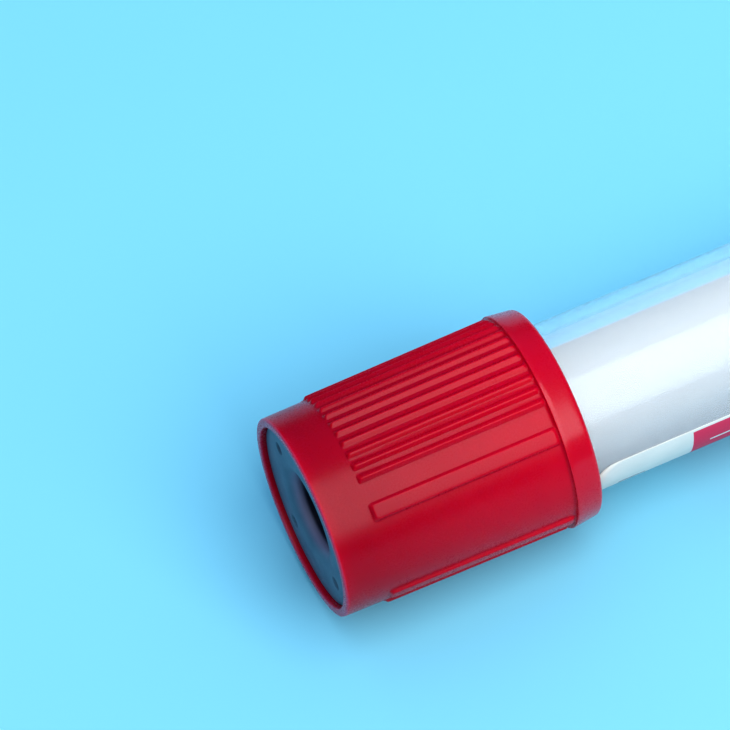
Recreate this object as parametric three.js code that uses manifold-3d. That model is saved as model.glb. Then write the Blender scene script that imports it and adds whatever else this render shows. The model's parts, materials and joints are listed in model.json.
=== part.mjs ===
// Blood collection tube, lying as it comes to rest: a clear round-bottomed tube, a rubber stopper in
// its mouth, the ribbed safety shield that carries the stopper, and a wrap label.
// Millimetres, +Z up. The tube's axis runs along +X, from the shield's face to the round bottom.
import * as THREE from "three";
import { mergeVertices } from "three/addons/utils/BufferGeometryUtils.js";
import Module from "manifold-3d";

const wasm = await Module();
wasm.setup();

// ---- Driving dimensions ----

// Tube
const TUBE_DIAMETER = 13.0;
const TUBE_LENGTH = 75.0;
const TUBE_WALL = 1.0;

// Rubber stopper: a flange that seats on the tube's rim, and a plug that seals its bore
const FLANGE_THICKNESS = 5.0;
const FLANGE_EDGE_CHAMFER = 0.25;
const PLUG_LENGTH = 9.75;
const PLUG_CHAMFER = 0.4;
const WELL_DIAMETER = 6.2; // where the needle is let in
const WELL_DEPTH = 7.0;
const WELL_LIP_WIDTH = 0.9; // the soft dish round the well
const WELL_LIP_DEPTH = 0.5;
const DIMPLE_COUNT = 4;
const DIMPLE_DIAMETER = 1.1;
const DIMPLE_DEPTH = 0.3;
const DIMPLE_INSET = 1.75; // from the flange's edge to a dimple's middle
const DIMPLE_TURN = 28.5; // degrees from the top to a dimple

// Safety shield: a drafted sleeve with a collar at its mouth
const SHIELD_LENGTH = 20.55;
const SHIELD_WALL = 0.68;
const SHIELD_DRAFT = 0.6; // degrees on the radius, widening towards the mouth
const SHIELD_EDGE_ROUND = 0.2;
const COLLAR_WIDTH = 2.15;
const COLLAR_RISE = 0.4; // above the sleeve, at the collar's step
const COLLAR_FALL = 0.22; // how far the collar narrows to the mouth
const COLLAR_EDGE_ROUND = 0.35;
const FACE_RECESS = 0.45; // from the shield's end rim down to the rubber face
const LEDGE_LENGTH = 1.6; // the inner ring that the flange is snapped over

// Grip: two fields of sharp ribs, each with a wide pad beyond either side
const GRIP_FIELDS = 2;
const RIBS_PER_FIELD = 12;
const RIB_PITCH = 7.2; // degrees
const RIB_LAND = 0.1; // width of a rib's crest
const RIB_HEIGHT = 0.28;
const RIB_SLOPE = 36; // degrees of a flank against the sleeve
const PAD_LAND = 1.1;
const PAD_HEIGHT = 0.26;
const PAD_SLOPE = 64;
const PAD_TURN = 31.4; // degrees from the middle of the smooth field to a pad
const SMOOTH_TURN = 71.9; // degrees from the top to the middle of a smooth field
const GRIP_START = 3.4; // plain band at the shield's face
const GRIP_END_LAP = 0.2; // how far the ribs run into the collar
const GRIP_ROOT = 0.3; // how deep a rib is rooted in the sleeve

// Label
const LABEL_THICKNESS = 0.1;
const LABEL_ARC = 180; // degrees
const LABEL_TURN = 170.6; // degrees from the top to the label's middle
const LABEL_COVERED = 0.05; // length of label inside the shield's mouth
const LABEL_TAIL = 8.5; // bare tube between the label and the round bottom
const LABEL_CORNER = 2.0;
const LABEL_CORNER_STEPS = 4;

// Clearances
const SKIRT_CLEARANCE = 0.85; // tube to shield at the mouth, on the radius
const LEDGE_CLEARANCE = 0.15; // tube to the shield's inner ring, on the radius
const PLUG_CLEARANCE = 0.05; // plug to bore, on the radius
const FLANGE_CLEARANCE = 0.05; // flange to shield, on the radius and at the ledge
const RIM_CLEARANCE = 0.05; // flange to the tube's rim
const LABEL_GAP = 0.03; // label to tube

// Facets
const ROUND_STEPS = 24; // round the axis, a flat facing straight down
const ARC_STEPS = 8; // along a quarter of the round bottom

// ---- Sizes that follow ----

const rad = THREE.MathUtils.degToRad;
const HALF_STEP = Math.PI / ROUND_STEPS;

const tubeRadius = TUBE_DIAMETER / 2;
const boreRadius = tubeRadius - TUBE_WALL;
const mouthRadius = tubeRadius + SKIRT_CLEARANCE;
const stepAt = SHIELD_LENGTH - COLLAR_WIDTH;
const draft = Math.tan(rad(SHIELD_DRAFT));
const skirtRadius = (s) => mouthRadius - (SHIELD_LENGTH - s) * draft;
const sleeveRadius = (s) => skirtRadius(s) + SHIELD_WALL;
const collarRadius = sleeveRadius(stepAt) + COLLAR_RISE;

const faceAt = FACE_RECESS;
const flangeEnd = faceAt + FLANGE_THICKNESS;
const rimAt = flangeEnd + RIM_CLEARANCE;
const plugEnd = flangeEnd + PLUG_LENGTH;
const ledgeStart = flangeEnd + FLANGE_CLEARANCE;
const ledgeEnd = ledgeStart + LEDGE_LENGTH;
const ledgeRadius = tubeRadius + LEDGE_CLEARANCE;
const headRadius = skirtRadius(0);
const flangeRadius = headRadius - FLANGE_CLEARANCE;
const plugRadius = boreRadius - PLUG_CLEARANCE;
const wellRadius = WELL_DIAMETER / 2;

const bottomCentre = rimAt + TUBE_LENGTH - tubeRadius; // middle of the round bottom's sphere
const labelStart = SHIELD_LENGTH - LABEL_COVERED;
const labelEnd = bottomCentre - LABEL_TAIL;
const labelInside = (tubeRadius + LABEL_GAP) / Math.cos(HALF_STEP);

// ---- Shape helpers ----

// Points [radius, distance along the axis] of an arc, angles in degrees from the radius direction.
function arc(radius, centreRadius, centreAt, from, to, steps) {
  return Array.from({ length: steps + 1 }, (_, i) => {
    const angle = rad(from + ((to - from) * i) / steps);
    const out = centreRadius + radius * Math.cos(angle);
    return [Math.max(0, out), centreAt + radius * Math.sin(angle)];
  });
}

// A profile turned round +X, with a flat of its facets facing straight down.
function turned(profile) {
  const points = profile.map(([radius, along]) => new THREE.Vector2(radius, along));
  return new THREE.LatheGeometry(points, ROUND_STEPS, HALF_STEP).rotateZ(-Math.PI / 2);
}

function solidOf(geometry) {
  const bare = new THREE.BufferGeometry();
  bare.setAttribute("position", geometry.getAttribute("position"));
  bare.setIndex(geometry.index);
  const merged = mergeVertices(bare, 1e-4);
  const vertProperties = new Float32Array(merged.getAttribute("position").array);
  const triVerts = new Uint32Array(merged.index.array);
  return new wasm.Manifold(new wasm.Mesh({ numProp: 3, vertProperties, triVerts }));
}

function geometryOf(solid) {
  const { vertProperties, triVerts } = solid.getMesh();
  const geometry = new THREE.BufferGeometry();
  geometry.setAttribute("position", new THREE.BufferAttribute(vertProperties, 3));
  geometry.setIndex(new THREE.BufferAttribute(triVerts, 1));
  geometry.computeVertexNormals();
  return geometry;
}

// Turns a geometry that points up (+Z) about the axis; degrees run from the top to the -Y side.
const turnAboutAxis = (geometry, degrees) => geometry.rotateX(rad(degrees));

// ---- Tube ----

const tubeOutside = [
  ...arc(tubeRadius, 0, bottomCentre, 90, 0, ARC_STEPS),
  ...arc(TUBE_WALL / 2, tubeRadius - TUBE_WALL / 2, rimAt + TUBE_WALL / 2, 0, -90, ARC_STEPS / 2),
];
const tubeInside = [
  ...arc(TUBE_WALL / 2, tubeRadius - TUBE_WALL / 2, rimAt + TUBE_WALL / 2, -90, -180, ARC_STEPS / 2).slice(1),
  ...arc(boreRadius, 0, bottomCentre, 0, 90, ARC_STEPS),
];

function tubeGeometry() {
  return turned([...tubeOutside, ...tubeInside].reverse());
}

// ---- Rubber stopper ----

function dimple(index) {
  const geometry = new THREE.CylinderGeometry(DIMPLE_DIAMETER / 2, DIMPLE_DIAMETER / 2, 2 * DIMPLE_DEPTH, 12);
  geometry.rotateZ(Math.PI / 2).translate(faceAt, 0, flangeRadius - DIMPLE_INSET);
  return solidOf(turnAboutAxis(geometry, DIMPLE_TURN + (360 * index) / DIMPLE_COUNT));
}

function stopperGeometry() {
  const lip = WELL_LIP_WIDTH / 3;
  const profile = [
    [0, faceAt + WELL_DEPTH],
    [wellRadius, faceAt + WELL_DEPTH],
    [wellRadius, faceAt + WELL_LIP_DEPTH],
    [wellRadius + lip, faceAt + WELL_LIP_DEPTH * 0.45],
    [wellRadius + 2 * lip, faceAt + WELL_LIP_DEPTH * 0.12],
    [wellRadius + 3 * lip, faceAt],
    [flangeRadius - FLANGE_EDGE_CHAMFER, faceAt],
    [flangeRadius, faceAt + FLANGE_EDGE_CHAMFER],
    [flangeRadius, flangeEnd],
    [plugRadius, flangeEnd],
    [plugRadius, plugEnd - PLUG_CHAMFER],
    [plugRadius - PLUG_CHAMFER, plugEnd],
    [0, plugEnd],
  ];
  let stopper = solidOf(turned(profile));
  for (let i = 0; i < DIMPLE_COUNT; i++) stopper = stopper.subtract(dimple(i));
  return geometryOf(stopper);
}

// ---- Safety shield ----

function sleeve() {
  const halfWall = SHIELD_WALL / 2;
  const collarMouth = collarRadius - COLLAR_FALL;
  return turned([
    ...arc(halfWall, headRadius + halfWall, halfWall, 180, 270, 3),
    [sleeveRadius(0) - SHIELD_EDGE_ROUND, 0],
    [sleeveRadius(SHIELD_EDGE_ROUND), SHIELD_EDGE_ROUND],
    [sleeveRadius(stepAt), stepAt],
    [collarRadius, stepAt],
    ...arc(COLLAR_EDGE_ROUND, collarMouth - COLLAR_EDGE_ROUND, SHIELD_LENGTH - COLLAR_EDGE_ROUND, 0, 90, 3),
    [mouthRadius, SHIELD_LENGTH],
    [skirtRadius(ledgeEnd), ledgeEnd],
    [ledgeRadius, ledgeEnd],
    [ledgeRadius, ledgeStart],
    [headRadius, ledgeStart],
    [headRadius, halfWall],
  ]);
}

// A straight rib along the sleeve, at so many degrees from the top: sloping flanks on a straight root.
function rib(degrees, land, height, slope) {
  const length = stepAt + GRIP_END_LAP - GRIP_START;
  const crest = land / 2;
  const foot = crest + height / Math.tan(rad(slope));
  const section = new THREE.Shape([
    new THREE.Vector2(-foot, -GRIP_ROOT),
    new THREE.Vector2(foot, -GRIP_ROOT),
    new THREE.Vector2(foot, 0),
    new THREE.Vector2(crest, height),
    new THREE.Vector2(-crest, height),
    new THREE.Vector2(-foot, 0),
  ]);
  const geometry = new THREE.ExtrudeGeometry(section, { depth: length, bevelEnabled: false });
  geometry.rotateX(Math.PI / 2).rotateZ(Math.PI / 2).rotateY(-rad(SHIELD_DRAFT));
  geometry.translate(GRIP_START, 0, sleeveRadius(GRIP_START));
  return solidOf(turnAboutAxis(geometry, degrees));
}

function shieldGeometry() {
  let shield = solidOf(sleeve());
  for (let field = 0; field < GRIP_FIELDS; field++) {
    const smooth = SMOOTH_TURN + (360 * field) / GRIP_FIELDS;
    const ribbed = smooth + 180 / GRIP_FIELDS;
    for (const side of [-1, 1]) {
      shield = shield.add(rib(smooth + side * PAD_TURN, PAD_LAND, PAD_HEIGHT, PAD_SLOPE));
    }
    for (let i = 0; i < RIBS_PER_FIELD; i++) {
      const offset = (i - (RIBS_PER_FIELD - 1) / 2) * RIB_PITCH;
      shield = shield.add(rib(ribbed + offset, RIB_LAND, RIB_HEIGHT, RIB_SLOPE));
    }
  }
  return geometryOf(shield);
}

// ---- Label ----

// How much shorter the label is at each end, so far in from its edge, because of the round corner.
function cornerCut(inset) {
  if (inset >= LABEL_CORNER) return 0;
  const across = LABEL_CORNER - inset;
  return LABEL_CORNER - Math.sqrt(LABEL_CORNER ** 2 - across ** 2);
}

// The label's angles from the top: fine steps through the round corners, even steps between them.
function labelAngles() {
  const cornerArc = THREE.MathUtils.radToDeg(LABEL_CORNER / labelInside);
  const from = LABEL_TURN - LABEL_ARC / 2;
  const to = LABEL_TURN + LABEL_ARC / 2;
  const corner = Array.from({ length: LABEL_CORNER_STEPS }, (_, i) => {
    return cornerArc * (1 - Math.cos(((i / LABEL_CORNER_STEPS) * Math.PI) / 2));
  });
  const plain = LABEL_ARC - 2 * cornerArc;
  const plainSteps = Math.ceil(rad(plain) / (2 * HALF_STEP));
  const middle = Array.from({ length: plainSteps + 1 }, (_, i) => {
    return from + cornerArc + (plain * i) / plainSteps;
  });
  return [...corner.map((c) => from + c), ...middle, ...corner.map((c) => to - c).reverse()];
}

// One ring of four corners for each angle, joined ring to ring and capped at both edges.
function labelGeometry() {
  const angles = labelAngles();
  const inset = (degrees) => rad(Math.min(degrees - angles[0], angles.at(-1) - degrees)) * labelInside;
  const positions = angles.flatMap((degrees) => {
    const cut = Math.min(cornerCut(inset(degrees)), LABEL_CORNER);
    const angle = rad(degrees);
    const outside = labelInside + LABEL_THICKNESS;
    const corners = [
      [labelStart + cut, labelInside],
      [labelEnd - cut, labelInside],
      [labelEnd - cut, outside],
      [labelStart + cut, outside],
    ];
    return corners.flatMap(([x, radius]) => [x, -radius * Math.sin(angle), radius * Math.cos(angle)]);
  });
  const last = 4 * (angles.length - 1);
  const faces = [
    [0, 2, 1],
    [0, 3, 2],
    [last, last + 1, last + 2],
    [last, last + 2, last + 3],
  ];
  for (let ring = 0; ring < last; ring += 4) {
    for (let side = 0; side < 4; side++) {
      const a = ring + side;
      const b = ring + ((side + 1) % 4);
      faces.push([a, b, a + 4], [b, b + 4, a + 4]);
    }
  }
  const geometry = new THREE.BufferGeometry();
  geometry.setAttribute("position", new THREE.Float32BufferAttribute(positions, 3));
  geometry.setIndex(faces.flat());
  geometry.computeVertexNormals();
  return geometry;
}

// ---- Assembly ----

function piece(name, geometry, material) {
  const mesh = new THREE.Mesh(geometry, new THREE.MeshStandardMaterial(material));
  mesh.name = name;
  return mesh;
}

// The tilt at which the tube comes down on the surface that the collar lies on.
function restTilt() {
  const labelCorners = [[labelInside + LABEL_THICKNESS, labelEnd]];
  const beyond = [...tubeOutside, ...labelCorners].filter(([, along]) => along > stepAt);
  const drop = beyond.map(([radius, along]) => {
    return ((collarRadius - radius) * Math.cos(HALF_STEP)) / (along - stepAt);
  });
  return Math.atan(Math.min(...drop));
}

const closure = new THREE.Group();
closure.add(
  piece("shield", shieldGeometry(), { color: 0xc4122b, roughness: 0.4, metalness: 0 }),
  piece("stopper", stopperGeometry(), { color: 0x2c4660, roughness: 0.6, metalness: 0 }),
);

const labelledTube = new THREE.Group();
labelledTube.add(
  piece("tube", tubeGeometry(), {
    color: 0xe6f2f5,
    roughness: 0.05,
    metalness: 0,
    transparent: true,
    opacity: 0.35,
  }),
  piece("label", labelGeometry(), { color: 0xf2f5f6, roughness: 0.5, metalness: 0 }),
);

const lying = new THREE.Group();
lying.add(labelledTube, closure);
lying.rotation.y = restTilt();

// The origin is under the middle of the whole, on the surface that it lies on.
const box = new THREE.Box3().setFromObject(lying, true);
lying.position.set(-(box.min.x + box.max.x) / 2, -(box.min.y + box.max.y) / 2, -box.min.z);

const group = new THREE.Group();
group.add(lying);

export default group;
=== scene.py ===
"""Looks of the blood collection tube: clear tube, wrap label, rubber stopper, safety shield.

Every piece is made in the tube's own axis frame, in millimetres: x runs along the axis from the
shield's outer rim to the round bottom, y is sideways, and z is the axis frame's up. Turns about
the axis are in degrees from the top towards the -Y side. make_piece() then lays the piece down.
"""

import json
import math

import bpy
import numpy as np
from mathutils import Matrix, Vector


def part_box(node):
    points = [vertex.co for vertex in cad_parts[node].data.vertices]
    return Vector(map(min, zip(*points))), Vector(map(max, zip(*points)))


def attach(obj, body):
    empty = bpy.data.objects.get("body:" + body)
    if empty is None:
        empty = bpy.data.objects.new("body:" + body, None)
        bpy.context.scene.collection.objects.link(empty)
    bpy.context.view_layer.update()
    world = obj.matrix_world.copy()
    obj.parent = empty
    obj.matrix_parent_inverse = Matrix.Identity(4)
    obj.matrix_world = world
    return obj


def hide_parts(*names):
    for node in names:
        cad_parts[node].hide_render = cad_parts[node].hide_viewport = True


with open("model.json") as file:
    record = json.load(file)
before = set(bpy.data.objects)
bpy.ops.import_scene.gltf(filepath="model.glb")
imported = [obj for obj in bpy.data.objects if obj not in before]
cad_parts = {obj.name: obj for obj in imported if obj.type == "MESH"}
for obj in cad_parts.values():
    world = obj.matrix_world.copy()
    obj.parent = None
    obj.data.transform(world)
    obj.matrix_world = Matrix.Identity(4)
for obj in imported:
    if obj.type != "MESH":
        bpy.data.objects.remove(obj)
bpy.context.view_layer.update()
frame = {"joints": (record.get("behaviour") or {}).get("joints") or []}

MM = 0.001

# ---- Sizes, in millimetres and degrees ----

TUBE_RADIUS = 6.5
TUBE_WALL = 1.0
TUBE_LENGTH = 75.0
RIM_AT = 5.5  # the tube's rim, from the shield's outer rim

FACE_AT = 0.47  # the rubber face, below the shield's outer rim
FLANGE_RADIUS = 7.13  # squeezed against the shield's bore
FLANGE_END = 5.45
FLANGE_EDGE = 0.12
PLUG_RADIUS = 5.45
PLUG_END = 15.2
WELL_RADIUS = 3.1
WELL_DEPTH = 7.0
WELL_MOUTH_WIDTH = 1.25  # the well opens out like a bell
WELL_MOUTH_DEPTH = 0.8
WELL_FLOOR_ROUND = 0.4
FLANGE_BACK_ROUND = 0.15
PLUG_ROUND = 0.5
DIMPLE_COUNT = 4
DIMPLE_PITCH = 360 / DIMPLE_COUNT
DIMPLE_RADIUS = 0.58
DIMPLE_DEPTH = 0.28
DIMPLE_WALL = 0.22  # width of the slope down into a dimple
DIMPLE_AT = 5.34  # from the axis
DIMPLE_TURN = 28.5
PIP_RADIUS = 0.2  # the raised point in the middle of a dimple
PIP_WALL = 0.16
PIP_SHARE = 0.45  # of the dimple's depth

SHIELD_LENGTH = 20.55
SHIELD_WALL = 0.68
SHIELD_DRAFT = math.tan(math.radians(0.6))
MOUTH_RADIUS = 7.35
RIM_ROUND = 0.18
RIM_INSIDE_ROUND = 0.08
COLLAR_WIDTH = 2.15
COLLAR_RISE = 0.4
COLLAR_FALL = 0.22
COLLAR_STEP_ROUND = 0.07
COLLAR_FOOT_ROUND = 0.26
COLLAR_MOUTH_ROUND = 0.35
STEP_AT = SHIELD_LENGTH - COLLAR_WIDTH
COLLAR_RADIUS = MOUTH_RADIUS - COLLAR_WIDTH * SHIELD_DRAFT + SHIELD_WALL + COLLAR_RISE
LEDGE_START = 5.5
LEDGE_END = 7.1
LEDGE_RADIUS = 6.65
INSIDE_CHAMFER = 0.08  # at the mouth's inner edge and on the ledge

GRIP_START = 3.4
GRIP_END = STEP_AT - 0.03
SMOOTH_TURN = 71.9  # middle of the first smooth field
PAD_TURN = 31.4  # from the middle of a smooth field to its pads
RIBS_PER_FIELD = 12
RIB_PITCH = 7.2
RIB = {"land": 0.08, "height": 0.28, "slope": 43.0, "end_slope": 52.0, "corner": 0.22}
PAD = {"land": 1.08, "height": 0.24, "slope": 52.0, "end_slope": 45.0, "corner": 0.3}
EDGE_SOFTNESS = 0.05  # rounding of a rib's foot
CREST_SOFTNESS = EDGE_SOFTNESS * 1.6
SHARP_RADIUS = 0.06  # an edge rounded tighter than this counts as sharp

LABEL_START = 20.5
LABEL_END = 65.5
LABEL_TURN = 170.6  # middle of the label
LABEL_ARC = 180.0
LABEL_GAP = 0.03
LABEL_THICKNESS = 0.1
LABEL_CORNER = 2.0
RED_FIELD = (8.15, 40.0)  # start and end of the printed field, from the label's cap end
RED_FIELD_INSET = 0.2
RED_FIELD_WIDTH = 9.0
PALE_RULE = (RED_FIELD[0] + 1.4, RED_FIELD[1], 2.05, 2.3)  # start, end, near and far edge
FILL_MARK = (2.2, 4.4, 3.4, 3.62)
WRITING_RULES = 4
WRITING_RULE_ENDS = (6.0, 38.0)
WRITING_RULE_INSET = 3.0  # of the first one, from the label's far edge
WRITING_RULE_PITCH = 2.6
WRITING_RULE_WIDTH = 0.12

# ---- Spacing of mesh points, in millimetres and degrees ----

PLAIN_END = GRIP_START - 0.1  # the plain sleeve ends here
RISE_START = GRIP_START - 0.03  # the ribs' ends rise
RISE_END = GRIP_START + 0.42
LEVEL_START = GRIP_START + 0.6  # the ribs run level
LEVEL_END = GRIP_END - 0.75
FALL_START = GRIP_END - 0.65  # the ribs' ends fall, up to the collar's foot
FINE_STEP = 0.035  # along the shield, where the ribs rise and fall
SKIRT_START = SHIELD_LENGTH - 0.6
SKIRT_END = LEDGE_END + 0.1
BORE_START = 0.35
BORE_CORNER = 0.05  # from each inside corner to the points that keep it crisp
SPACING_AT = 10.0  # place along the sleeve where its columns are spaced
FOOT_GAP = 0.02  # from a rib's foot to the columns on its two sides
PAD_GAPS = (0.07, 0.2)  # from a pad's foot to further columns outside it
WIDE_STEP = 1.5  # turn between columns where the sleeve is plain
WIDE_MARGIN = 0.7
PLAIN_GAP = 2.5  # a gap wider than this gets such columns
GRIP_REACH = 9.0  # turn from its middle past which a rib or pad has no height
DIMPLE_SPAN = 7.0  # half the turn with fine columns round each dimple
DIMPLE_MARGIN = 0.05


# ---- Where the tube lies ----

CAD_FACETS = 24
FLAT_SHARE = math.cos(math.pi / CAD_FACETS)  # how far out a flat is, as a share of the radius


def axis_frame():
    """The axis frame as a matrix from millimetres to the row frame's metres."""
    along = -Vector(frame["joints"][0]["axis"]).normalized()
    side = Vector((0, 1, 0))
    up = along.cross(side)
    radius = TUBE_RADIUS * MM
    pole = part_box("tube")[1].x
    # The CAD tube lies on a flat.
    bottom_centre = Vector((pole - radius * along.x, 0, radius * FLAT_SHARE * along.x))
    start = bottom_centre - along * (RIM_AT + TUBE_LENGTH - TUBE_RADIUS) * MM
    turned = Matrix((along, side, up)).transposed().to_4x4()
    return Matrix.Translation(start) @ turned @ Matrix.Scale(MM, 4)


AXIS_FRAME = axis_frame()
FACE_CENTRE = AXIS_FRAME @ Vector((0, 0, 0))
# The round collar reaches a little below the CAD model's flats, which lie at height 0.
FLOOR_HEIGHT = -COLLAR_RADIUS * (1 - FLAT_SHARE) * MM


# ---- Camera, light and floor ----

CAMERA_AZIMUTH = math.radians(-18.5)
CAMERA_ELEVATION = math.radians(60.39)
CAMERA_ROLL = math.radians(7.575)
CAMERA_DISTANCE = 0.5855
CAMERA_LENS = 395.9
AIM_RIGHT = 0.0046472  # the camera looks at a point this far from the face's centre
AIM_UP = 0.0111917
FLOOR_WIDTH = 4.0


def direction(azimuth, elevation):
    """The direction from the object to a camera or lamp; azimuth 0 is on the -Y side."""
    flat = math.cos(elevation)
    return Vector((math.sin(azimuth) * flat, -math.cos(azimuth) * flat, math.sin(elevation)))


KEY = direction(math.radians(15), math.radians(58))
BACK = direction(math.radians(180), math.radians(50))
OVERHEAD = Vector((0, 0, 1))
KEY_WHITE = (0.97, 0.98, 1.0)
BACK_BLUE = (0.2, 0.3, 1.0)
FILL_BLUE = (0.52, 0.84, 1.0)
SKY_BLUE = (0.4, 0.65, 1.0)


def add_camera():
    back = direction(CAMERA_AZIMUTH, CAMERA_ELEVATION)
    spin = Matrix.Rotation(-CAMERA_ROLL, 3, back)
    right = spin @ Vector((0, 0, 1)).cross(back).normalized()
    up = back.cross(right)
    location = FACE_CENTRE + back * CAMERA_DISTANCE
    aim = FACE_CENTRE + right * AIM_RIGHT + up * AIM_UP
    back = (location - aim).normalized()
    right = up.cross(back).normalized()
    data = bpy.data.cameras.new("camera")
    data.lens = CAMERA_LENS
    data.sensor_width = 36
    data.clip_start = 0.01
    data.clip_end = 20
    camera = bpy.data.objects.new("camera", data)
    turned = Matrix((right, back.cross(right), back)).transposed().to_4x4()
    camera.matrix_world = Matrix.Translation(location) @ turned
    bpy.context.scene.collection.objects.link(camera)
    bpy.context.scene.camera = camera


def add_softbox(name, towards, colour, distance, size, radiance):
    """A rectangular lamp that faces the object, as bright all over as radiance says."""
    data = bpy.data.lights.new(name, "AREA")
    data.shape = "RECTANGLE"
    data.size, data.size_y = size
    data.energy = radiance * math.pi * size[0] * size[1]
    data.color = colour
    lamp = bpy.data.objects.new(name, data)
    lamp.location = towards * distance
    lamp.rotation_euler = towards.to_track_quat("Z", "Y").to_euler()
    lamp.visible_camera = False
    bpy.context.scene.collection.objects.link(lamp)
    return lamp


def add_sky(colour, strength):
    world = bpy.data.worlds.new("studio")
    world.use_nodes = True
    background = world.node_tree.nodes["Background"]
    background.inputs["Color"].default_value = (*colour, 1)
    background.inputs["Strength"].default_value = strength
    bpy.context.scene.world = world


def add_floor(material):
    """A wide sheet of paper under the object."""
    half = FLOOR_WIDTH / 2
    corners = [(-half, -half), (half, -half), (half, half), (-half, half)]
    mesh = bpy.data.meshes.new("floor")
    mesh.from_pydata([(x, y, FLOOR_HEIGHT) for x, y in corners], [], [(0, 1, 2, 3)])
    mesh.materials.append(material)
    floor = bpy.data.objects.new("floor", mesh)
    bpy.context.scene.collection.objects.link(floor)


# ---- Mesh helpers ----

def arc(radius, centre_radius, centre_along, start, end, steps):
    """Profile points (radius, along) of an arc; angles in degrees from the radius direction."""
    angles = np.radians(np.linspace(start, end, steps + 1))
    return [
        (max(0.0, centre_radius + radius * math.cos(a)), centre_along + radius * math.sin(a))
        for a in angles
    ]


def far_corner(radius, along, rounding, start, end, steps):
    """The arc that rounds a profile's corner at (radius, along), inward and back from it."""
    return arc(rounding, radius - rounding, along - rounding, start, end, steps)


def line(start, end, steps):
    """Profile points between two profile points, both left out."""
    shares = np.arange(1, steps) / steps
    return [tuple(np.array(start) * (1 - t) + np.array(end) * t) for t in shares]


def turn_between(turns, turn):
    """How far each of the turns is from one turn, between -180 and 180 degrees."""
    return (turns - turn + 180) % 360 - 180


def turned_points(radius, along, turns):
    """Points at radius (rows x turns), at along (rows), turned by degrees from the top."""
    angles = np.radians(turns)
    radius = np.broadcast_to(radius, (len(along), len(turns)))
    points = np.empty((len(along), len(turns), 3))
    points[..., 0] = np.asarray(along)[:, None]
    points[..., 1] = -radius * np.sin(angles)
    points[..., 2] = radius * np.cos(angles)
    return points


def grid_faces(rows, columns, rows_close, columns_close):
    """Quads of a rows x columns grid of points, wrapped round where it closes."""
    down = np.arange(rows if rows_close else rows - 1)
    across = np.arange(columns if columns_close else columns - 1)
    i, j = np.meshgrid(down, across, indexing="ij")
    k, l = (i + 1) % rows, (j + 1) % columns
    quads = np.stack([i * columns + j, i * columns + l, k * columns + l, k * columns + j], -1)
    return quads.reshape(-1, 4)


def enclosed_volume(points, faces):
    """Six times the signed volume of a closed mesh, below zero if its faces point inwards."""
    total = 0.0
    for corners in (faces[:, :3], faces[:, [0, 2, 3]]):
        a, b, c = points[corners].transpose(1, 0, 2)
        total += np.einsum("ij,ij->", a, np.cross(b, c))
    return total


def crest_values(points, faces, normals):
    """How sharply each point stands out, from 0 on flat or hollow parts to 1 on a sharp edge."""
    starts = faces.ravel()
    ends = np.roll(faces, -1, axis=1).ravel()
    real = starts != ends
    starts, ends = starts[real], ends[real]
    steps = points[starts] - points[ends]
    lengths = np.einsum("ij,ij->i", steps, steps)
    sharpest = np.zeros(len(points))
    for here, sign in ((starts, 1), (ends, -1)):
        bend = 2 * sign * np.einsum("ij,ij->i", normals[here], steps) / lengths
        np.maximum.at(sharpest, here, bend)
    return np.clip(sharpest * SHARP_RADIUS, 0, 1)


def make_piece(name, points, faces, material):
    """A closed mesh of axis-frame points, laid down in the row frame and smooth shaded.

    A face that repeats its last corner is a triangle.
    """
    points = points.reshape(-1, 3)
    if enclosed_volume(points, faces) < 0:
        faces = faces[:, [0, 3, 2, 1]]
    to_row = np.array(AXIS_FRAME)
    laid = points @ to_row[:3, :3].T + to_row[:3, 3]
    corners = [list(dict.fromkeys(face)) for face in faces.tolist()]
    mesh = bpy.data.meshes.new(name)
    mesh.from_pydata(laid.tolist(), [], corners)
    mesh.shade_smooth()
    place = mesh.attributes.new("place", "FLOAT_VECTOR", "POINT")
    place.data.foreach_set("vector", points.astype(np.float32).ravel())
    normals = np.empty(len(points) * 3, dtype=np.float32)
    mesh.vertex_normals.foreach_get("vector", normals)
    normals = normals.reshape(-1, 3) @ (to_row[:3, :3] / MM)
    crest = mesh.attributes.new("crest", "FLOAT", "POINT")
    crest.data.foreach_set("value", crest_values(points, faces, normals).astype(np.float32))
    mesh.materials.append(material)
    piece = bpy.data.objects.new(name, mesh)
    bpy.context.scene.collection.objects.link(piece)
    weighted = piece.modifiers.new("even_normals", "WEIGHTED_NORMAL")
    weighted.weight = 60
    return piece


def revolved(name, profile, turns, material, dent=None):
    """A profile from axis to axis, turned all round; dent(radius, along, turns) moves points."""
    radius = np.array([p[0] for p in profile[1:-1]])
    along = np.array([p[1] for p in profile[1:-1]])
    points = turned_points(radius[:, None], along, turns)
    if dent is not None:
        points[..., 0] += dent(radius[:, None], along[:, None], turns[None, :])
    rows, columns = points.shape[:2]
    around = np.arange(columns)
    following = (around + 1) % columns
    first = np.full(columns, rows * columns)
    last = first + 1
    end = (rows - 1) * columns
    fans = [np.stack([first, following, around, around], -1)]
    fans.append(np.stack([last, end + around, end + following, end + following], -1))
    faces = np.vstack([grid_faces(rows, columns, False, True), *fans])
    poles = [[profile[0][1], 0, 0], [profile[-1][1], 0, 0]]
    return make_piece(name, np.vstack([points.reshape(-1, 3), poles]), faces, material)


def fit_piece(piece, node, body):
    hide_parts(node)
    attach(piece, body)


# ---- Clear tube ----

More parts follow.
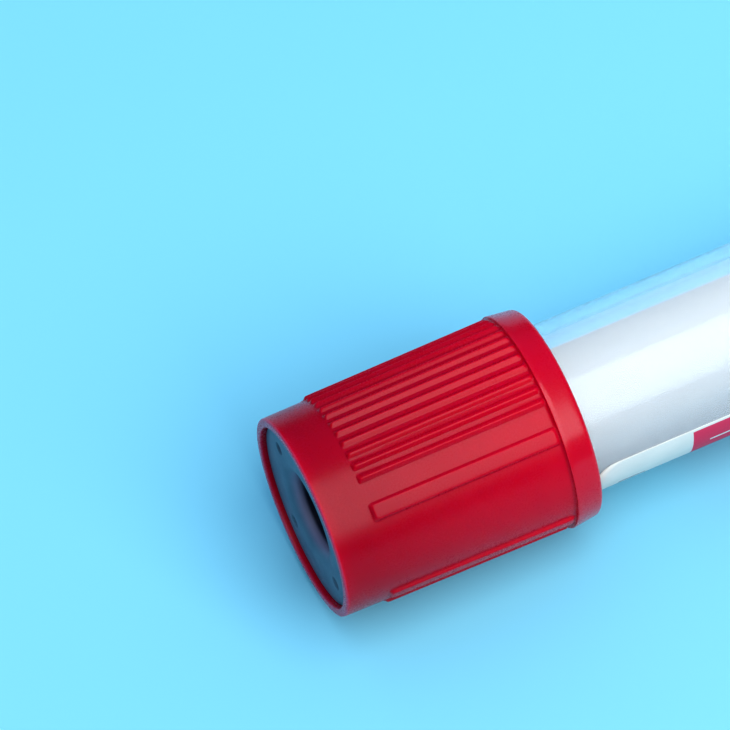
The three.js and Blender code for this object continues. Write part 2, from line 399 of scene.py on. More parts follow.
def tube_piece(material):
    centre = RIM_AT + TUBE_LENGTH - TUBE_RADIUS
    bore = TUBE_RADIUS - TUBE_WALL
    half_wall = TUBE_WALL / 2
    middle = TUBE_RADIUS - half_wall
    lip = RIM_AT + half_wall
    walls = arc(TUBE_RADIUS, 0, centre, 90, 0, 40)
    walls += line((TUBE_RADIUS, centre), (TUBE_RADIUS, lip), 12)
    walls += arc(half_wall, middle, lip, 0, -180, 16)
    walls += line((bore, lip), (bore, centre), 12)
    walls += arc(bore, 0, centre, 0, 90, 36)
    turns = np.linspace(0, 360, 192, endpoint=False)
    return revolved("clear_tube", walls, turns, material)


# ---- Rubber stopper ----

def soft_step(value):
    """0 to 1 as value goes from 0 to 1, with no corner at either end."""
    value = np.clip(value, 0, 1)
    return value * value * (3 - 2 * value)


def stopper_profile():
    floor_at = FACE_AT + WELL_DEPTH
    mouth = WELL_RADIUS + WELL_MOUTH_WIDTH
    dimples_start = DIMPLE_AT - DIMPLE_RADIUS - DIMPLE_MARGIN
    dimples_end = DIMPLE_AT + DIMPLE_RADIUS + DIMPLE_MARGIN
    edge = FLANGE_RADIUS - FLANGE_EDGE
    profile = [(0, floor_at)]
    profile += line(profile[0], (WELL_RADIUS - WELL_FLOOR_ROUND, floor_at), 3)
    profile += far_corner(WELL_RADIUS, floor_at, WELL_FLOOR_ROUND, 90, 0, 5)
    profile += line(profile[-1], (WELL_RADIUS, FACE_AT + WELL_MOUTH_DEPTH), 8)
    for angle in np.radians(np.linspace(0, 90, 19)):
        out = WELL_MOUTH_WIDTH * math.cos(angle)
        profile.append((mouth - out, FACE_AT + WELL_MOUTH_DEPTH * (1 - math.sin(angle))))
    profile += line((mouth, FACE_AT), (dimples_start, FACE_AT), 2)
    profile += [(r, FACE_AT) for r in np.linspace(dimples_start, dimples_end, 22)]
    profile += line((dimples_end, FACE_AT), (edge, FACE_AT), 4)
    profile += arc(FLANGE_EDGE, edge, FACE_AT + FLANGE_EDGE, -90, 0, 6)
    profile += line(profile[-1], (FLANGE_RADIUS, FLANGE_END - FLANGE_BACK_ROUND), 5)
    profile += far_corner(FLANGE_RADIUS, FLANGE_END, FLANGE_BACK_ROUND, 0, 90, 3)
    profile += line(profile[-1], (PLUG_RADIUS, FLANGE_END), 3)
    profile += [(PLUG_RADIUS, FLANGE_END)]
    profile += line(profile[-1], (PLUG_RADIUS, PLUG_END - PLUG_ROUND), 8)
    profile += far_corner(PLUG_RADIUS, PLUG_END, PLUG_ROUND, 0, 90, 6)
    profile += line(profile[-1], (0, PLUG_END), 4)
    profile += [(0, PLUG_END)]
    return profile


def dimple_dent(radius, along, turns):
    """How far the face is pushed in, towards +x, at the moulded dimples."""
    depth = np.zeros(np.broadcast_shapes(radius.shape, turns.shape))
    on_face = np.abs(along - FACE_AT) < 1e-6
    for i in range(DIMPLE_COUNT):
        away = np.radians(turn_between(turns, DIMPLE_TURN + DIMPLE_PITCH * i))
        across = np.hypot(radius * np.cos(away) - DIMPLE_AT, radius * np.sin(away))
        pit = soft_step((DIMPLE_RADIUS - across) / DIMPLE_WALL)
        pip = soft_step((PIP_RADIUS - across) / PIP_WALL)
        depth += DIMPLE_DEPTH * (pit - PIP_SHARE * pip)
    return np.where(on_face, depth, 0)


def stopper_piece(material):
    fine = np.linspace(-DIMPLE_SPAN, DIMPLE_SPAN, 29)
    coarse = np.linspace(DIMPLE_SPAN, DIMPLE_PITCH - DIMPLE_SPAN, 27)[1:-1]
    quarter = np.concatenate([fine, coarse])
    turns = [DIMPLE_TURN + DIMPLE_PITCH * i + quarter for i in range(DIMPLE_COUNT)]
    turns = np.sort(np.concatenate(turns) % 360)
    return revolved("rubber_stopper", stopper_profile(), turns, material, dimple_dent)


# ---- Safety shield ----

def skirt_radius(along):
    """The bore widens towards the mouth, so that the moulding leaves its core."""
    return MOUTH_RADIUS - (SHIELD_LENGTH - along) * SHIELD_DRAFT


def sleeve_radius(along):
    return skirt_radius(along) + SHIELD_WALL


def soft_min(a, b, softness):
    """The smaller of a and b, with the corner between them rounded."""
    overlap = np.clip(softness - np.abs(a - b), 0, None) / softness
    return np.minimum(a, b) - overlap**2 * softness / 4


def ridge_height(across, along, shape):
    """Height of one rib or pad over the sleeve, at a distance across it and a place along."""
    slope = math.tan(math.radians(shape["slope"]))
    end_slope = math.tan(math.radians(shape["end_slope"]))
    foot = shape["land"] / 2 + shape["height"] / slope
    sides = (foot - np.abs(across)) * slope
    ends = np.minimum(along - GRIP_START, GRIP_END - along) * end_slope
    body = soft_min(sides, ends, shape["corner"])
    topped = soft_min(body, shape["height"], CREST_SOFTNESS)
    return -soft_min(-topped, 0 * topped, EDGE_SOFTNESS)


def grip_features():
    """Every rib and pad as (degrees from the top, shape)."""
    features = []
    for smooth in (SMOOTH_TURN, SMOOTH_TURN + 180):
        features += [(smooth + side * PAD_TURN, PAD) for side in (-1, 1)]
        first = smooth + 90 - (RIBS_PER_FIELD - 1) / 2 * RIB_PITCH
        features += [(first + i * RIB_PITCH, RIB) for i in range(RIBS_PER_FIELD)]
    return [(turn % 360, shape) for turn, shape in features]


def grip_height(along, turns):
    """Height of the grip over the plain sleeve (rows x turns)."""
    radius = sleeve_radius(along)[:, None]
    height = np.zeros((len(along), len(turns)))
    for turn, shape in grip_features():
        away = turn_between(turns, turn)
        near = np.abs(away) < GRIP_REACH
        across = np.radians(away[near])[None, :] * radius
        height[:, near] = np.maximum(height[:, near], ridge_height(across, along[:, None], shape))
    return height


def ridge_columns(shape):
    """Distances from a rib's or pad's middle at which one side of it needs points."""
    crest = shape["land"] / 2
    foot = crest + shape["height"] / math.tan(math.radians(shape["slope"]))
    top = np.linspace(0, crest, 2 if shape is RIB else 7)[1:]
    flank = np.linspace(crest + EDGE_SOFTNESS, foot - EDGE_SOFTNESS, 5)
    columns = [*top, crest + EDGE_SOFTNESS / 2, *flank, foot - FOOT_GAP, foot + FOOT_GAP]
    if shape is PAD:
        columns += [foot + gap for gap in PAD_GAPS]
    return np.array(columns)


def shield_turns():
    """Turns of the shield's columns: close together over the ribs and pads, wide between."""
    radius = sleeve_radius(SPACING_AT)
    turns = []
    for turn, shape in grip_features():
        half = ridge_columns(shape)
        turns.append(turn + np.degrees(np.concatenate([-half, [0], half]) / radius))
    edges = np.sort(np.concatenate(turns) % 360)
    gaps = np.diff(np.append(edges, edges[0] + 360))
    wide = []
    for edge, gap in zip(edges, gaps):
        if gap > PLAIN_GAP:
            wide.append(edge + np.arange(WIDE_STEP, gap - WIDE_MARGIN, WIDE_STEP))
    return np.sort(np.concatenate([edges, *wide]) % 360)


def sleeve_points(stations):
    """Profile points on the sleeve's outside, at these places along it."""
    return [(sleeve_radius(s), s) for s in stations]


def sleeve_profile():
    """The shield's outside from its rim to the collar's foot, finest at the ends of the grip."""
    points = arc(RIM_ROUND, sleeve_radius(0) - RIM_ROUND, RIM_ROUND, 270, 360, 6)
    points += sleeve_points(np.linspace(RIM_ROUND, PLAIN_END, 5)[1:])
    points += sleeve_points(np.arange(RISE_START, RISE_END, FINE_STEP))
    points += sleeve_points(np.linspace(LEVEL_START, LEVEL_END, 7))
    points += sleeve_points(np.arange(FALL_START, STEP_AT - COLLAR_FOOT_ROUND, FINE_STEP))
    return points


def collar_step_profile(foot, brow):
    """The step from the sleeve up to the collar, with a hollow at its foot and a round brow."""
    hollow_at = STEP_AT - COLLAR_FOOT_ROUND
    points = arc(-COLLAR_FOOT_ROUND, foot + COLLAR_FOOT_ROUND, hollow_at, 0, -90, 8)
    points += line(points[-1], (brow, STEP_AT), 2)
    points += arc(COLLAR_STEP_ROUND, brow, STEP_AT + COLLAR_STEP_ROUND, 270, 353, 5)
    return points


def bore_profile():
    """The shield's inside, from its mouth over the ledge to the rim."""
    head = skirt_radius(0)
    slope_end = LEDGE_RADIUS + INSIDE_CHAMFER
    points = [(MOUTH_RADIUS + INSIDE_CHAMFER, SHIELD_LENGTH)]
    points += [(MOUTH_RADIUS, SHIELD_LENGTH - INSIDE_CHAMFER)]
    points += [(skirt_radius(s), s) for s in np.linspace(SKIRT_START, SKIRT_END, 8)]
    points += [(skirt_radius(LEDGE_END) - BORE_CORNER, LEDGE_END), (slope_end, LEDGE_END)]
    points += [(LEDGE_RADIUS, LEDGE_END - INSIDE_CHAMFER)]
    points += [(LEDGE_RADIUS, LEDGE_START + INSIDE_CHAMFER)]
    points += [(slope_end, LEDGE_START), (head - BORE_CORNER, LEDGE_START)]
    points += [(head, s) for s in np.linspace(LEDGE_START - BORE_CORNER, BORE_START, 4)]
    points += arc(RIM_INSIDE_ROUND, head + RIM_INSIDE_ROUND, RIM_INSIDE_ROUND, 180, 270, 4)
    return points


def shield_profile():
    """The shield's closed section as (radius, along, share of the grip's height it carries)."""
    foot = sleeve_radius(STEP_AT)
    collar = foot + COLLAR_RISE
    brow = collar - COLLAR_STEP_ROUND
    sleeve = sleeve_profile()
    step = collar_step_profile(foot, brow)
    lip = far_corner(collar - COLLAR_FALL, SHIELD_LENGTH, COLLAR_MOUTH_ROUND, 7, 90, 8)
    rest = line(step[-1], lip[0], 5) + lip + bore_profile()
    shares = [1] * len(sleeve) + [np.clip((brow - r) / (brow - foot), 0, 1) for r, _ in step]
    shares += [0] * len(rest)
    return [(r, s, share) for (r, s), share in zip(sleeve + step + rest, shares)]


def shield_piece(material):
    profile = np.array(shield_profile())
    radius, along, share = profile.T
    turns = shield_turns()
    grown = radius[:, None] + share[:, None] * grip_height(along, turns)
    points = turned_points(grown, along, turns)
    faces = grid_faces(len(profile), len(turns), True, True)
    return make_piece("ribbed_shield", points, faces, material)


# ---- Wrap label ----

def corner_cut(inset):
    """How much shorter the label is at each end, so far in from its edge."""
    across = np.clip(LABEL_CORNER - inset, 0, LABEL_CORNER)
    return LABEL_CORNER - np.sqrt(LABEL_CORNER**2 - across**2)


def label_insets(width):
    """Distances from one long edge to each column of points, closer at the round corners."""
    corner = LABEL_CORNER * (1 - np.cos(np.linspace(0, math.pi / 2, 13)))
    middle = np.linspace(LABEL_CORNER, width - LABEL_CORNER, 90)[1:-1]
    return np.concatenate([corner, middle, (width - corner)[::-1]])


def long_edge_faces(rows, columns):
    """Quads that close the label's two long edges, between its outer and inner rows."""
    i = np.arange(rows // 2 - 1)
    quads = []
    for j, order in ((0, [0, 1, 2, 3]), (columns - 1, [3, 2, 1, 0])):
        outer, inner = i * columns + j, (rows - 1 - i) * columns + j
        edge = np.stack([outer, outer + columns, inner - columns, inner], -1)
        quads.append(edge[:, order])
    return np.vstack(quads)


def label_piece(material):
    inside = TUBE_RADIUS + LABEL_GAP
    outside = inside + LABEL_THICKNESS
    half = math.radians(LABEL_ARC / 2) * inside
    insets = label_insets(2 * half)
    turns = LABEL_TURN + np.degrees((insets - half) / inside)
    cut = corner_cut(np.minimum(insets, 2 * half - insets))
    shares = np.linspace(0, 1, 49)[:, None]
    along = (LABEL_START + cut) * (1 - shares) + (LABEL_END - cut) * shares
    sheets = []
    for radius, way in ((outside, 1), (inside, -1)):
        sheet = turned_points(radius, shares[:, 0], turns)
        sheet[..., 0] = along
        sheets.append(sheet[::way])
    points = np.concatenate(sheets)
    rows, columns = points.shape[:2]
    faces = np.vstack([grid_faces(rows, columns, True, False), long_edge_faces(rows, columns)])
    label = make_piece("wrap_label", points, faces, material)
    across = np.broadcast_to(insets, (rows, columns))
    outer_side = np.repeat([1.0, 0.0], rows // 2)[:, None] + 0 * across
    on_sheet = np.stack([points[..., 0] - LABEL_START, across, outer_side], -1)
    sheet = label.data.attributes.new("sheet", "FLOAT_VECTOR", "POINT")
    sheet.data.foreach_set("vector", on_sheet.astype(np.float32).ravel())
    return label


# ---- Node helpers ----

def add_node(tree, kind, inputs=None, **settings):
    """A shader node; each input is a plain value, or another node's output to link to."""
    made = tree.nodes.new("ShaderNode" + kind)
    for name, value in settings.items():
        setattr(made, name, value)
    for name, value in (inputs or {}).items():
        if isinstance(value, bpy.types.NodeSocket):
            tree.links.new(value, made.inputs[name])
        else:
            made.inputs[name].default_value = value
    return made


def calculate(tree, operation, first, second, clamp=False):
    made = add_node(tree, "Math", {0: first, 1: second}, operation=operation, use_clamp=clamp)
    return made.outputs[0]


def ramp(tree, value, low, high, smooth=True):
    """0 up to low, 1 from high on, and a ramp between them; low may be above high."""
    kind = "SMOOTHSTEP" if smooth else "LINEAR"
    inputs = {"Value": value, "From Min": low, "From Max": high}
    return add_node(tree, "MapRange", inputs, interpolation_type=kind).outputs["Result"]


def part_ramp(tree, value, span, most):
    """A smooth ramp over the span, up to most."""
    return calculate(tree, "MULTIPLY", ramp(tree, value, *span), most)


def blend_colours(tree, share, first, second):
    made = add_node(tree, "Mix", {0: share}, data_type="RGBA")
    for socket, value in ((made.inputs[6], first), (made.inputs[7], second)):
        if isinstance(value, bpy.types.NodeSocket):
            tree.links.new(value, socket)
        else:
            socket.default_value = (*value, 1)
    return made.outputs[2]


def attribute(tree, name, output="Vector"):
    return add_node(tree, "Attribute", attribute_name=name).outputs[output]


def separate(tree, vector):
    return add_node(tree, "SeparateXYZ", {"Vector": vector}).outputs


def start_group(name, inputs, outputs):
    """An empty node group; returns (group, input node, output node)."""
    group = bpy.data.node_groups.new(name, "ShaderNodeTree")
    for label, default in inputs.items():
        kind = "NodeSocketVector" if default is None else "NodeSocketFloat"
        socket = group.interface.new_socket(name=label, in_out="INPUT", socket_type=kind)
        if default is not None:
            socket.default_value = default
    for label in outputs:
        group.interface.new_socket(name=label, in_out="OUTPUT", socket_type="NodeSocketFloat")
    return group, group.nodes.new("NodeGroupInput"), group.nodes.new("NodeGroupOutput")


def use_group(tree, group, **inputs):
    return add_node(tree, "Group", inputs, node_tree=group)


# ---- Effects that the finishes share ----

def moulded_grain_group():
    """The fine matt grain that a blasted mould leaves, and slow changes in how matt it is."""
    group, given, made = start_group(
        "moulded_grain", {"Place": None, "Fineness": 7.0}, ["Height", "Mattness"]
    )
    place, fineness = given.outputs["Place"], given.outputs["Fineness"]
    grain = add_node(group, "TexNoise", {"Vector": place, "Scale": fineness, "Detail": 2.0})
    slow = add_node(group, "TexNoise", {"Vector": place, "Scale": 0.35, "Detail": 3.0})
    mixed = calculate(group, "MULTIPLY", grain.outputs["Fac"], 0.5)
    mixed = calculate(group, "ADD", mixed, calculate(group, "MULTIPLY", slow.outputs["Fac"], 0.5))
    group.links.new(grain.outputs["Fac"], made.inputs["Height"])
    group.links.new(ramp(group, mixed, 0.35, 0.65, False), made.inputs["Mattness"])
    return group


def clouding_group():
    """Slow, soft changes of tone, as pigment or filler settles in a moulding."""
    group, given, made = start_group("clouding", {"Place": None, "Scale": 0.3}, ["Tone"])
    inputs = {"Vector": given.outputs["Place"], "Scale": given.outputs["Scale"], "Detail": 4.0}
    noise = add_node(group, "TexNoise", inputs)
    group.links.new(ramp(group, noise.outputs["Fac"], 0.3, 0.7), made.inputs["Tone"])
    return group


def dust_group():
    """Sparse specks of dust; Amount is the share of cells that hold one."""
    group, given, made = start_group(
        "dust", {"Place": None, "Cells": 1.6, "Amount": 0.2, "Speck": 0.06}, ["Mask"]
    )
    inputs = {"Vector": given.outputs["Place"], "Scale": given.outputs["Cells"]}
    cells = add_node(group, "TexVoronoi", inputs)
    chance = add_node(group, "SeparateColor", {"Color": cells.outputs["Color"]})
    held = calculate(group, "LESS_THAN", chance.outputs[0], given.outputs["Amount"])
    size = calculate(group, "MULTIPLY", chance.outputs[1], given.outputs["Speck"])
    speck = calculate(group, "LESS_THAN", cells.outputs["Distance"], size)
    group.links.new(calculate(group, "MULTIPLY", held, speck), made.inputs["Mask"])
    return group


def crest_highlight_group():
    """A painted highlight along sharp crests, broken up so that no two stretches look alike."""
    group, given, made = start_group(
        "crest_highlight", {"Place": None, "Crest": 0.0, "Amount": 0.5}, ["Mask"]
    )
    noise = add_node(
        group, "TexNoise", {"Vector": given.outputs["Place"], "Scale": 1.3, "Detail": 5.0}
    )
    broken = ramp(group, noise.outputs["Fac"], 0.35, 0.65)
    broken = calculate(group, "ADD", calculate(group, "MULTIPLY", broken, 0.5), 0.5)
    lit_crest = calculate(group, "MULTIPLY", given.outputs["Crest"], broken)
    painted_highlight = calculate(group, "MULTIPLY", lit_crest, given.outputs["Amount"])
    group.links.new(painted_highlight, made.inputs["Mask"])
    return group


def printed_bar_group():
    """A rectangle printed on the film's outside, as a mask; edges in millimetres on the sheet."""
    edges = {"Start": 0.0, "End": 1.0, "Near": 0.0, "Far": 1.0}
    group, given, made = start_group("printed_bar", {"Sheet": None, **edges}, ["Mask"])
    sheet = separate(group, given.outputs["Sheet"])
    inks = []
    for axis, low, high in (("X", "Start", "End"), ("Y", "Near", "Far")):
        inks.append(calculate(group, "GREATER_THAN", sheet[axis], given.outputs[low]))
        inks.append(calculate(group, "LESS_THAN", sheet[axis], given.outputs[high]))
    mask = sheet["Z"]
    for ink in inks:
        mask = calculate(group, "MULTIPLY", mask, ink)
    group.links.new(mask, made.inputs["Mask"])
    return group


# ---- Finishes ----

RED_SHADED_END = (0.345, 0.0005, 0.013)
RED_PLAIN = (0.545, 0.0006, 0.019)
# Painted highlight on the ribs' crests.
RED_CREST_HIGHLIGHT = (0.62, 0.01, 0.03)
# Painted reflection: a mauve sheen on the rim's rounded edge.
RIM_PAINTED_SHEEN = (0.44, 0.05, 0.12)
BLUE_RUBBER = (0.038, 0.078, 0.13)
RUBBER_BLOOM = (0.120, 0.190, 0.250)
RUBBER_BELL_GLOW = (0.27, 0.20, 0.30)  # painted pinkish glow of red light in the well's bell mouth
# Painted shade deep in the stopper's well.
RUBBER_WELL_SHADE = (0.005, 0.004, 0.016)
FILM_WHITE = (0.75, 0.70, 0.645)
# Painted shade on the film's back, seen through the tube.
FILM_BACK_SHADE = (0.395, 0.36, 0.325)
FILM_LIT = (0.93, 0.87, 0.79)  # the back near the edge, where lamps shine through the film
PRINT_RED = (0.68, 0.042, 0.1)
PRINT_GREY = (0.05, 0.06, 0.08)
FILM_SMUDGE = (0.38, 0.39, 0.39)
DUST_ON_RED = (0.6, 0.4, 0.4)
DUST_ON_RUBBER = (0.16, 0.2, 0.24)
DUST_ON_FILM = (0.5, 0.5, 0.5)
CLEAR_TINT = (0.97, 0.985, 1.0, 1)
CLEAR_SHADOW = (0.85, 0.87, 0.89, 1)  # what is left of the lamps' light behind the wall
CLEAR_GLOSS = (0.2, 0.2, 0.2, 1)
PAPER_DARK = (0.215, 0.545, 0.70)
PAPER_PALE = (0.225, 0.555, 0.71)

# Where a colour changes, in millimetres: 0 at the first number and 1 at the second.
RED_SHADE_FADES = (2.4, 18.5)  # along the sleeve: the painted shade towards the rim end fades out
# Painted light: the red lightens towards the rim, and more at its lip.
RIM_GLOW_SPAN = (1.2, 0.1)
LIP_GLOW_SPAN = (0.4, 0.1)
RIM_SHEEN_SPAN = (0.2, 0.08)
POLISH_STARTS = (STEP_AT - 0.02, STEP_AT + 0.02)
BELL_GLOW_SPAN = (FACE_AT + 0.1, FACE_AT + 0.6)
WELL_SHADE_SPAN = (FACE_AT + 0.78, FACE_AT + 1.12)
WELL_SIDE = (WELL_RADIUS + 1.5, WELL_RADIUS + 1.3)  # from the axis
WELL_BOTTOM = (FACE_AT + WELL_DEPTH + 0.2, FACE_AT + WELL_DEPTH + 0.1)
FILM_LIGHTENS = (8.0, 0.5)  # from the label's near edge

# How much of each effect shows.
RIM_GLOW_SHARE = 0.2
LIP_GLOW_SHARE = 0.5
RIM_SHEEN_SHARE = 0.75
RED_CLOUDING = 0.08
POLISH = 0.32
BELL_GLOW_SHARE = 0.75
BLOOM_CLOUDING = 0.35
BLOOM_SPECKLE = 0.3
SMUDGE_SHARE = 0.1

DRAW_LINES = (0.05, 1.4, 1.4)  # scales of the noise along and across the tube


def material_nodes(name):
    """A new material with its Principled shader; returns (material, node tree, shader)."""
    material = bpy.data.materials.new(name)
    material.use_nodes = True
    tree = material.node_tree
    return material, tree, tree.nodes["Principled BSDF"]


def add_roughness(tree, shader, grain, least, spread):
    """Roughness that rises from its least by up to the spread, as the grain gets matter."""
    rough = calculate(tree, "MULTIPLY", grain.outputs["Mattness"], spread)
    tree.links.new(calculate(tree, "ADD", rough, least), shader.inputs["Roughness"])


def add_bump(tree, shader, height, depth):
    """Surface relief from a height of 0 to 1, depth in millimetres."""
    bump = add_node(tree, "Bump", {"Height": height, "Distance": depth * MM})
    tree.links.new(bump.outputs["Normal"], shader.inputs["Normal"])


def red_plastic(effects):
    """Satin moulded plastic with a polished collar; painted shade darkens it towards the rim end.
    """
    material, tree, shader = material_nodes("red_plastic")
    place = attribute(tree, "place")
    along = separate(tree, place)["X"]
    tone = use_group(tree, effects["clouding"], Place=place, Scale=0.25).outputs["Tone"]
    crest = attribute(tree, "crest", "Fac")
    crest_light = use_group(tree, effects["crest_highlight"], Place=place, Crest=crest, Amount=0.3)
    dust = use_group(tree, effects["dust"], Place=place, Cells=0.9, Amount=0.16, Speck=0.045)
    grain = use_group(tree, effects["moulded_grain"], Place=place, Fineness=7.0)
    # Painted shade: the red darkens from the collar towards the rim end.
    light_and_tone = ramp(tree, along, *RED_SHADE_FADES, smooth=False)
    # Painted light: the red is lit up again at the rim, and more at its lip.
    for span, share in ((RIM_GLOW_SPAN, RIM_GLOW_SHARE), (LIP_GLOW_SPAN, LIP_GLOW_SHARE)):
        light_and_tone = calculate(tree, "ADD", light_and_tone, part_ramp(tree, along, span, share))
    clouded = calculate(tree, "SUBTRACT", tone, 0.5)
    clouded = calculate(tree, "MULTIPLY", clouded, RED_CLOUDING)
    light_and_tone = calculate(tree, "ADD", light_and_tone, clouded, clamp=True)
    colour = blend_colours(tree, light_and_tone, RED_SHADED_END, RED_PLAIN)
    # Painted reflection: a mauve sheen on the rim's rounded edge.
    edge = part_ramp(tree, along, RIM_SHEEN_SPAN, RIM_SHEEN_SHARE)
    colour = blend_colours(tree, edge, colour, RIM_PAINTED_SHEEN)
    # Painted highlight: the crests are painted a lighter red.
    colour = blend_colours(tree, crest_light.outputs["Mask"], colour, RED_CREST_HIGHLIGHT)
    colour = blend_colours(tree, dust.outputs["Mask"], colour, DUST_ON_RED)
    tree.links.new(colour, shader.inputs["Base Color"])
    add_roughness(tree, shader, grain, least=0.24, spread=0.08)
    shader.inputs["Specular IOR Level"].default_value = 0.16
    shader.inputs["Subsurface Weight"].default_value = 0.7
    shader.inputs["Subsurface Radius"].default_value = (1.0, 0.1, 0.15)
    shader.inputs["Subsurface Scale"].default_value = MM
    polish = part_ramp(tree, along, POLISH_STARTS, POLISH)
    tree.links.new(polish, shader.inputs["Coat Weight"])
    shader.inputs["Coat Roughness"].default_value = 0.14
    add_bump(tree, shader, grain.outputs["Height"], depth=0.003)
    return material


def within_well(tree, parts):
    """1 inside the stopper's well and 0 on the rest of the stopper."""
    across = add_node(tree, "CombineXYZ", {"X": parts["Y"], "Y": parts["Z"]})
    radius = add_node(tree, "VectorMath", {0: across.outputs[0]}, operation="LENGTH")
    near = ramp(tree, radius.outputs["Value"], *WELL_SIDE)
    return calculate(tree, "MULTIPLY", near, ramp(tree, parts["X"], *WELL_BOTTOM))


def stopper_rubber(effects):
    """Blue-grey rubber with a faint bloom and a speckle of filler; painted glow and shade in its
    well.
    """
    material, tree, shader = material_nodes("stopper_rubber")
    place = attribute(tree, "place")
    parts = separate(tree, place)
    tone = use_group(tree, effects["clouding"], Place=place, Scale=0.5).outputs["Tone"]
    grain = use_group(tree, effects["moulded_grain"], Place=place, Fineness=9.0)
    dust = use_group(tree, effects["dust"], Place=place, Cells=2.2, Amount=0.3, Speck=0.09)
    speckle = calculate(tree, "MULTIPLY", grain.outputs["Height"], BLOOM_SPECKLE)
    bloom = calculate(tree, "MULTIPLY", tone, BLOOM_CLOUDING)
    bloom = calculate(tree, "ADD", bloom, speckle)
    colour = blend_colours(tree, bloom, BLUE_RUBBER, RUBBER_BLOOM)
    inside = within_well(tree, parts)
    # Painted light: a pinkish glow of red light in the well's bell mouth.
    bell = calculate(tree, "MULTIPLY", ramp(tree, parts["X"], *BELL_GLOW_SPAN), inside)
    bell = calculate(tree, "MULTIPLY", bell, BELL_GLOW_SHARE)
    colour = blend_colours(tree, bell, colour, RUBBER_BELL_GLOW)
    # Painted shade: the rubber darkens deeper in the well.
    well_shade = calculate(tree, "MULTIPLY", ramp(tree, parts["X"], *WELL_SHADE_SPAN), inside)
    colour = blend_colours(tree, well_shade, colour, RUBBER_WELL_SHADE)
    colour = blend_colours(tree, dust.outputs["Mask"], colour, DUST_ON_RUBBER)
    tree.links.new(colour, shader.inputs["Base Color"])
    add_roughness(tree, shader, grain, least=0.42, spread=0.15)
    add_bump(tree, shader, grain.outputs["Height"], depth=0.006)
    return material


def clear_wall(effects):
    """Clear plastic with faint draw lines; lamps shine through it instead of being blocked."""
    material, tree, shader = material_nodes("clear_wall")
    place = attribute(tree, "place")
    drawn = add_node(tree, "VectorMath", {0: place, 1: DRAW_LINES}, operation="MULTIPLY")
    lines = add_node(tree, "TexNoise", {"Vector": drawn.outputs[0], "Scale": 1.0, "Detail": 3.0})
    grain = use_group(tree, effects["moulded_grain"], Place=place, Fineness=3.0)
    add_roughness(tree, shader, grain, least=0.07, spread=0.025)
    shader.inputs["Base Color"].default_value = CLEAR_TINT
    shader.inputs["Transmission Weight"].default_value = 0.92
    shader.inputs["Specular Tint"].default_value = CLEAR_GLOSS
    shader.inputs["IOR"].default_value = 1.5
    add_bump(tree, shader, lines.outputs["Fac"], depth=0.0008)
    open_to_lamps = add_node(tree, "BsdfTransparent", {"Color": CLEAR_SHADOW})
    path = add_node(tree, "LightPath")
    wall = add_node(tree, "MixShader", {0: path.outputs["Is Shadow Ray"]})
    tree.links.new(shader.outputs["BSDF"], wall.inputs[1])
    tree.links.new(open_to_lamps.outputs["BSDF"], wall.inputs[2])
    output = tree.nodes["Material Output"]
    tree.links.new(wall.outputs["Shader"], output.inputs["Surface"])
    return material


def label_print(tree, sheet, bar_group):
    """Masks of the label's red field and of its grey rules."""

    def bar(start, end, near, far):
        edges = {"Start": start, "End": end, "Near": near, "Far": far}
        return use_group(tree, bar_group, Sheet=sheet, **edges).outputs["Mask"]

    field = bar(*RED_FIELD, RED_FIELD_INSET, RED_FIELD_WIDTH)
    field = calculate(tree, "SUBTRACT", field, bar(*PALE_RULE), clamp=True)
    width = math.radians(LABEL_ARC) * (TUBE_RADIUS + LABEL_GAP)
    rules = bar(*FILL_MARK)
    for i in range(WRITING_RULES):
        near = width - WRITING_RULE_INSET - i * WRITING_RULE_PITCH
        rule = bar(*WRITING_RULE_ENDS, near, near + WRITING_RULE_WIDTH)
        rules = calculate(tree, "ADD", rules, rule, clamp=True)
    return field, rules


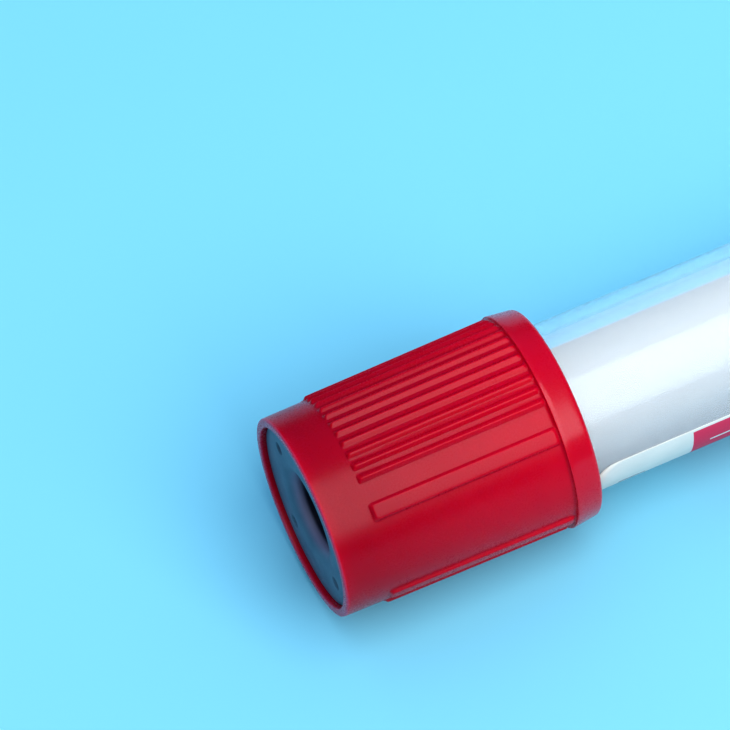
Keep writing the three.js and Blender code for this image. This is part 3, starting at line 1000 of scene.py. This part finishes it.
def label_film(effects):
    """Satin white film with a red field and plain write-on rules."""
    material, tree, shader = material_nodes("label_film")
    place = attribute(tree, "place")
    sheet = attribute(tree, "sheet")
    field, rules = label_print(tree, sheet, effects["printed_bar"])
    tone = use_group(tree, effects["clouding"], Place=place, Scale=0.4).outputs["Tone"]
    grain = use_group(tree, effects["moulded_grain"], Place=place, Fineness=5.0)
    dust = use_group(tree, effects["dust"], Place=place, Cells=0.8, Amount=0.1, Speck=0.05)
    parts = separate(tree, sheet)
    # Painted shade and light: the film's back is painted darker, and lighter near its near edge.
    lit_through = ramp(tree, parts["Y"], *FILM_LIGHTENS)
    back = blend_colours(tree, lit_through, FILM_BACK_SHADE, FILM_LIT)
    face = blend_colours(tree, parts["Z"], back, FILM_WHITE)
    smudge = calculate(tree, "MULTIPLY", tone, SMUDGE_SHARE)
    colour = blend_colours(tree, smudge, face, FILM_SMUDGE)
    colour = blend_colours(tree, field, colour, PRINT_RED)
    colour = blend_colours(tree, rules, colour, PRINT_GREY)
    colour = blend_colours(tree, dust.outputs["Mask"], colour, DUST_ON_FILM)
    tree.links.new(colour, shader.inputs["Base Color"])
    add_roughness(tree, shader, grain, least=0.4, spread=0.1)
    shader.inputs["Specular IOR Level"].default_value = 0.08
    add_bump(tree, shader, grain.outputs["Height"], depth=0.003)
    return material


def blue_paper(effects):
    """The studio floor: matt paper with a barely uneven tone."""
    material, tree, shader = material_nodes("blue_paper")
    position = add_node(tree, "TexCoord").outputs["Object"]
    tone = use_group(tree, effects["clouding"], Place=position, Scale=9.0).outputs["Tone"]
    colour = blend_colours(tree, tone, PAPER_DARK, PAPER_PALE)
    tree.links.new(colour, shader.inputs["Base Color"])
    shader.inputs["Roughness"].default_value = 0.85
    shader.inputs["Specular IOR Level"].default_value = 0.2
    return material


# ---- Build ----

EFFECTS = {
    "moulded_grain": moulded_grain_group(),
    "clouding": clouding_group(),
    "dust": dust_group(),
    "crest_highlight": crest_highlight_group(),
    "printed_bar": printed_bar_group(),
}

add_camera()
add_sky(SKY_BLUE, strength=0.05)
add_softbox("key_softbox", KEY, KEY_WHITE, distance=0.6, size=(0.42, 0.74), radiance=4.0)
add_softbox("back_panel", BACK, BACK_BLUE, distance=0.7, size=(1.6, 0.9), radiance=0.25)
fill = add_softbox("fill_panel", OVERHEAD, FILL_BLUE, distance=0.6, size=(2.6, 2.6), radiance=0.75)
fill.visible_glossy = False
add_floor(blue_paper(EFFECTS))

fit_piece(tube_piece(clear_wall(EFFECTS)), "tube", "tube_body")
fit_piece(label_piece(label_film(EFFECTS)), "label", "tube_body")
fit_piece(stopper_piece(stopper_rubber(EFFECTS)), "stopper", "closure")
fit_piece(shield_piece(red_plastic(EFFECTS)), "shield", "closure")

bpy.context.scene.view_settings.view_transform = "Standard"
bpy.context.scene.view_settings.look = "Medium High Contrast"
